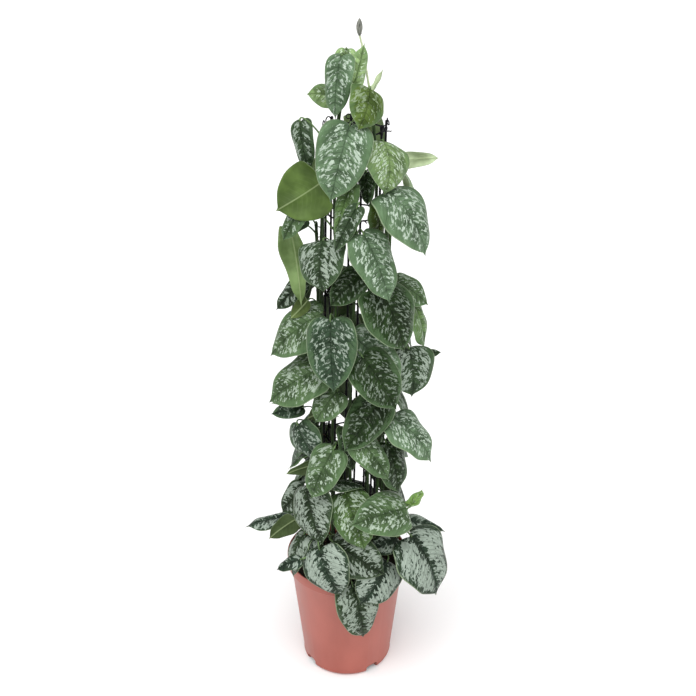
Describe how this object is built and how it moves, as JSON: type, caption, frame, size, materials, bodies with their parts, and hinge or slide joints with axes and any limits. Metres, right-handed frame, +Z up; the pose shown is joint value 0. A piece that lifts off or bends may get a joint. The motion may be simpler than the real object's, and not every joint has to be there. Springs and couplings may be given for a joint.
{
  "type": "satin pothos in a nursery pot",
  "caption": "Climbing satin pothos with overlapping silver-flecked heart-shaped leaves, trained up a tall narrow wire cage standing in a tapered terracotta-coloured plastic pot.",
  "frame": {"origin": "centre of the pot's flat underside", "axes": "+Z straight up out of the pot; -Y towards the front of the plant, the side with the large silver lower leaves; +X to the right seen from the front"},
  "size_m": [0.3902, 0.3286, 1.283],
  "materials": {
    "pot_plastic": "salmon terracotta injection-moulded plastic, satin, darker brown inside",
    "soil": "dark moist peat potting mix, crumbly",
    "coated_wire": "black plastic-coated steel wire, semi-matt",
    "foliage": "satin dark grey-green leaves with silver flecks that run along the side veins"
  },
  "bodies": {
    "root": {"pot": "pot_plastic", "soil": "soil", "cage_upright_1": "coated_wire", "cage_upright_2": "coated_wire", "cage_upright_3": "coated_wire", "cage_upright_4": "coated_wire", "cage_upright_5": "coated_wire", "cage_upright_6": "coated_wire", "cage_upright_7": "coated_wire", "cage_upright_8": "coated_wire", "cage_hoop_1": "coated_wire", "cage_hoop_2": "coated_wire", "cage_hoop_3": "coated_wire", "cage_hoop_4": "coated_wire", "cage_hoop_5": "coated_wire", "cage_hoop_6": "coated_wire", "leafy_stem_front": "foliage", "leafy_stem_front_right": "foliage", "leafy_stem_front_left": "foliage", "leafy_stem_right_front": "foliage", "leafy_stem_left_front": "foliage", "leafy_stem_right": "foliage", "leafy_stem_left": "foliage", "leafy_stem_back_1": "foliage", "leafy_stem_back_2": "foliage", "leafy_stem_back_3": "foliage", "leafy_stem_back_4": "foliage", "leafy_stem_back_5": "foliage"}
  },
  "joints": []
}
